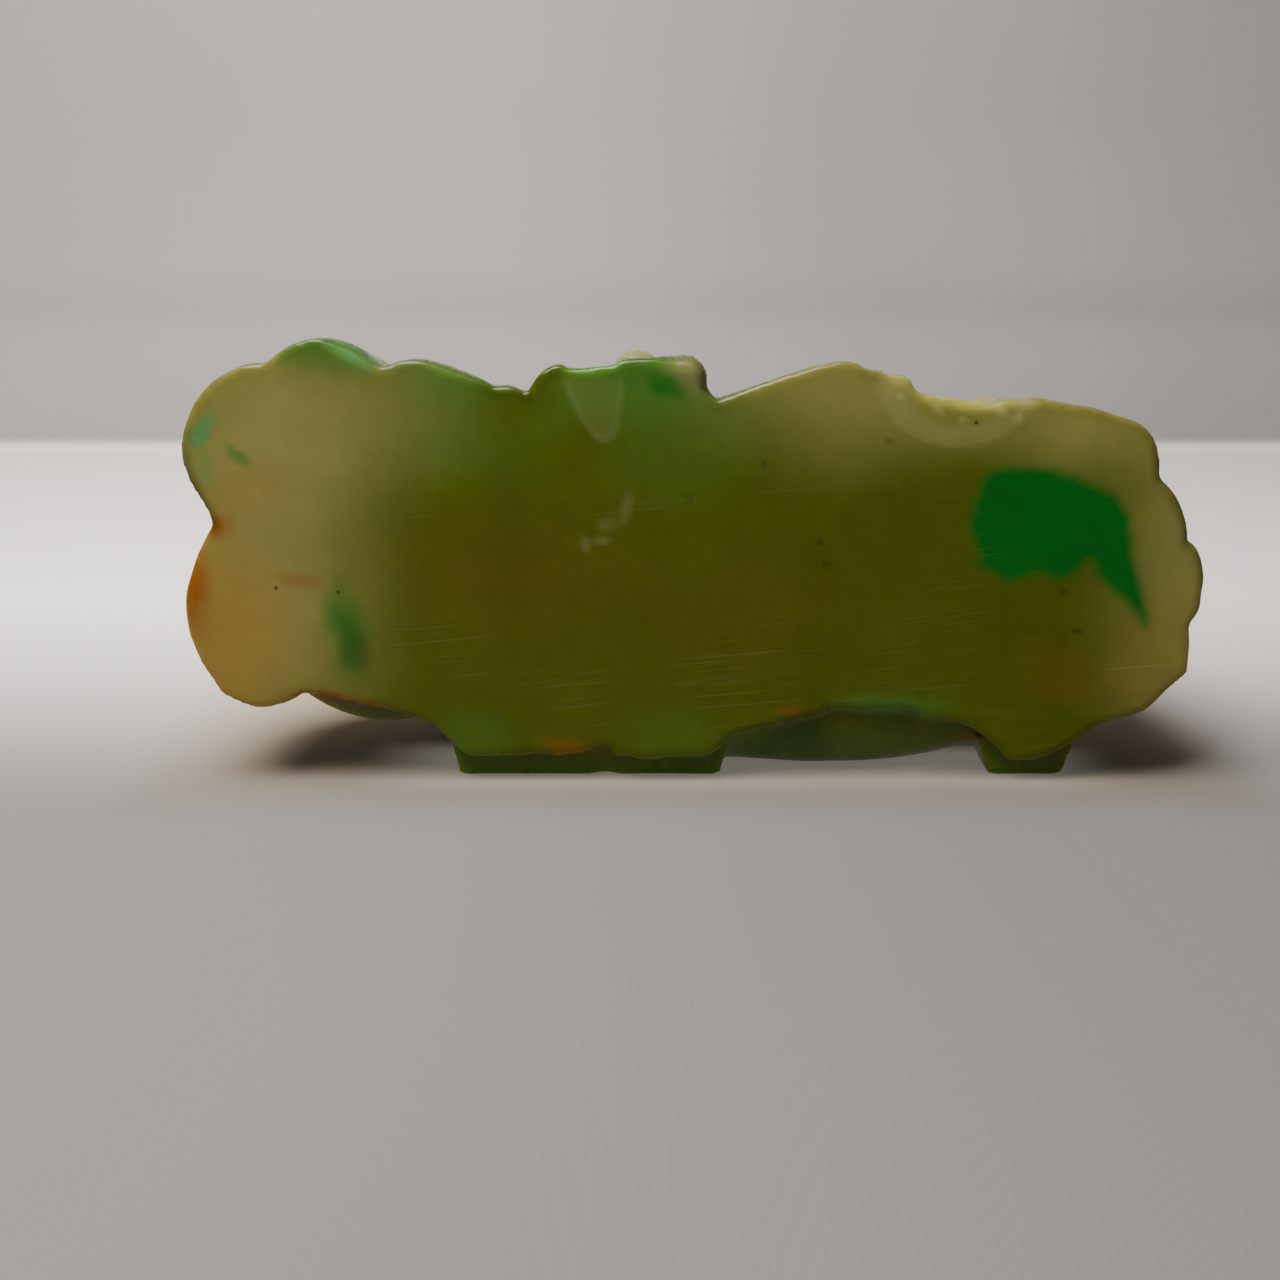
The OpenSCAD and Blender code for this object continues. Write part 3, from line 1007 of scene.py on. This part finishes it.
def stone_glow(tree, parts):
    """How much of the painted warm shadow, tinted by light come through the stone, lies at a place
    on the cloth.
    """
    low, high = WHOLE_LOW * MM, WHOLE_HIGH * MM
    outside = []
    for axis, a, b in (("X", low[0], high[0]), ("Y", low[1], high[1])):
        off = math_node(tree, "SUBTRACT", parts.outputs[axis], float(a + b) / 2)
        past = math_node(tree, "SUBTRACT", math_node(tree, "ABSOLUTE", off), float(b - a) / 2)
        outside.append(past)
    away = math_node(tree, "MAXIMUM", *outside)
    return ramp(tree, away, -0.004, 0.012, GLOW_STRENGTH, 0.0)


def front_glow(tree, parts):
    """Painted light: the cloth's own glow, standing in for light that comes through the feet onto
    the cloth just in front of them.
    """
    starts = ramp(tree, parts.outputs["Y"], -0.018, -0.013)
    ends = ramp(tree, parts.outputs["Y"], -0.002, -0.007)
    off = math_node(tree, "SUBTRACT", parts.outputs["X"], FRONT_GLOW_X)
    reach = math_node(tree, "ABSOLUTE", off)
    sides = ramp(tree, reach, 0.042, 0.028, 0.0, FRONT_GLOW_STRENGTH)
    return product(tree, starts, ends, sides)


def cloth_material():
    """Pale finely ribbed cloth."""
    made = bpy.data.materials.new("pale_cloth")
    made.use_nodes = True
    tree = made.node_tree
    shader = tree.nodes["Principled BSDF"]
    place = tree.nodes.new("ShaderNodeTexCoord").outputs["Object"]
    parts = tree.nodes.new("ShaderNodeSeparateXYZ")
    tree.links.new(place, parts.inputs[0])
    tree.links.new(cloth_shade(tree, place, parts), shader.inputs["Base Color"])
    ribs = node_with(tree, "ShaderNodeTexWave", scale=480.0, distortion=1.2, detail=2.0)
    tree.links.new(place, ribs.inputs["Vector"])
    bump = node_with(tree, "ShaderNodeBump", strength=0.25, distance=0.00005)
    tree.links.new(ribs.outputs["Fac"], bump.inputs["Height"])
    tree.links.new(bump.outputs[0], shader.inputs["Normal"])
    shader.inputs["Roughness"].default_value = 0.85
    # Painted light: the cloth glows by its own emission in front of the feet.
    shader.inputs["Emission Color"].default_value = FRONT_GLOW_COLOR
    tree.links.new(front_glow(tree, parts), shader.inputs["Emission Strength"])
    return made


# The cloth turns up into the backdrop at this Y, round a tight fold.
FOLD_Y = 0.19
FOLD_RADIUS = 0.005
FOLD_STEPS = 6
CLOTH_FRONT = -1.6
CLOTH_HALF_WIDTH = 1.6
# The hanging cloth's loose folds: how far behind FOLD_Y it hangs, and at what height.
HANGING = [(0.008, 0.022), (0.012, 0.028), (0.013, 0.033), (0.0125, 0.038), (0.014, 0.044),
           (0.020, 0.07), (0.020, 0.08), (0.03, 0.2), (0.05, 0.9)]


def cloth_stage():
    """A floor that folds up into a backdrop behind the object."""
    profile = [(CLOTH_FRONT, 0), (-0.6, 0), (0.0, 0), (FOLD_Y - 0.03, 0)]
    for i in range(FOLD_STEPS + 1):
        a = math.pi / 2 * i / FOLD_STEPS
        profile.append((FOLD_Y - FOLD_RADIUS + FOLD_RADIUS * math.sin(a),
                        FOLD_RADIUS - FOLD_RADIUS * math.cos(a)))
    profile += [(FOLD_Y + back, up) for back, up in HANGING]
    mesh = bpy.data.meshes.new("cloth")
    points = [(side * CLOTH_HALF_WIDTH, y, z) for y, z in profile for side in (-1, 1)]
    faces = [(2 * i, 2 * i + 1, 2 * i + 3, 2 * i + 2) for i in range(len(profile) - 1)]
    mesh.from_pydata(points, [], faces)
    mesh.shade_smooth()
    mesh.materials.append(cloth_material())
    cloth = bpy.data.objects.new("cloth", mesh)
    bpy.context.scene.collection.objects.link(cloth)


# One broad soft light above and slightly in front of the stone, a little to its left.
TOP_LIGHT_PLACE = (-0.10, -0.06, 0.31)
TOP_LIGHT_TARGET = (0, 0.02, 0)
TOP_LIGHT_SIDE = 0.20
TOP_LIGHT_WATTS = 2.75
TOP_LIGHT_COLOR = (1.0, 0.985, 0.965)
WORLD_COLOR = (1.0, 0.975, 0.96, 1)


def top_light():
    """The light that draws the soft shadows beside the stone."""
    light = bpy.data.lights.new("tent_top", "AREA")
    light.shape = "RECTANGLE"
    light.size = TOP_LIGHT_SIDE
    light.size_y = TOP_LIGHT_SIDE
    light.energy = TOP_LIGHT_WATTS
    light.color = TOP_LIGHT_COLOR
    made = bpy.data.objects.new("tent_top", light)
    made.location = TOP_LIGHT_PLACE
    direction = Vector(TOP_LIGHT_TARGET) - Vector(TOP_LIGHT_PLACE)
    made.rotation_euler = direction.to_track_quat("-Z", "Y").to_euler()
    bpy.context.scene.collection.objects.link(made)


def tent_world():
    """Soft light all round, brighter above and behind the object than on the camera's side."""
    world = bpy.data.worlds.new("tent")
    world.use_nodes = True
    tree = world.node_tree
    way = tree.nodes.new("ShaderNodeSeparateXYZ")
    tree.links.new(tree.nodes.new("ShaderNodeTexCoord").outputs["Generated"], way.inputs[0])
    above = ramp(tree, way.outputs["Z"], 0.0, 0.9, 0.0, 0.16)
    behind = ramp(tree, way.outputs["Y"], -0.3, 0.9, 0.07, 0.18)
    back = tree.nodes["Background"]
    back.inputs["Color"].default_value = WORLD_COLOR
    tree.links.new(math_node(tree, "ADD", above, behind), back.inputs["Strength"])
    bpy.context.scene.world = world


cloth_stage()
top_light()
tent_world()


# ---------------------------------------------------------------- camera

# Metres in front of the ground face, above the floor and along it, and degrees down.
CAMERA_FROM_FACE = 0.1209
CAMERA_HEIGHT = 0.0546
CAMERA_X = -0.0053
CAMERA_PITCH = 18.0
FOCAL_LENGTH = 36.08
lens = bpy.data.cameras.new("camera")
lens.lens = FOCAL_LENGTH
lens.clip_start = 0.005
lens.clip_end = 10
camera = bpy.data.objects.new("camera", lens)
camera.location = (CAMERA_X, FACE_Y * MM - CAMERA_FROM_FACE, CAMERA_HEIGHT)
camera.rotation_euler = (math.radians(90 - CAMERA_PITCH), 0, 0)
bpy.context.scene.collection.objects.link(camera)
bpy.context.scene.camera = camera
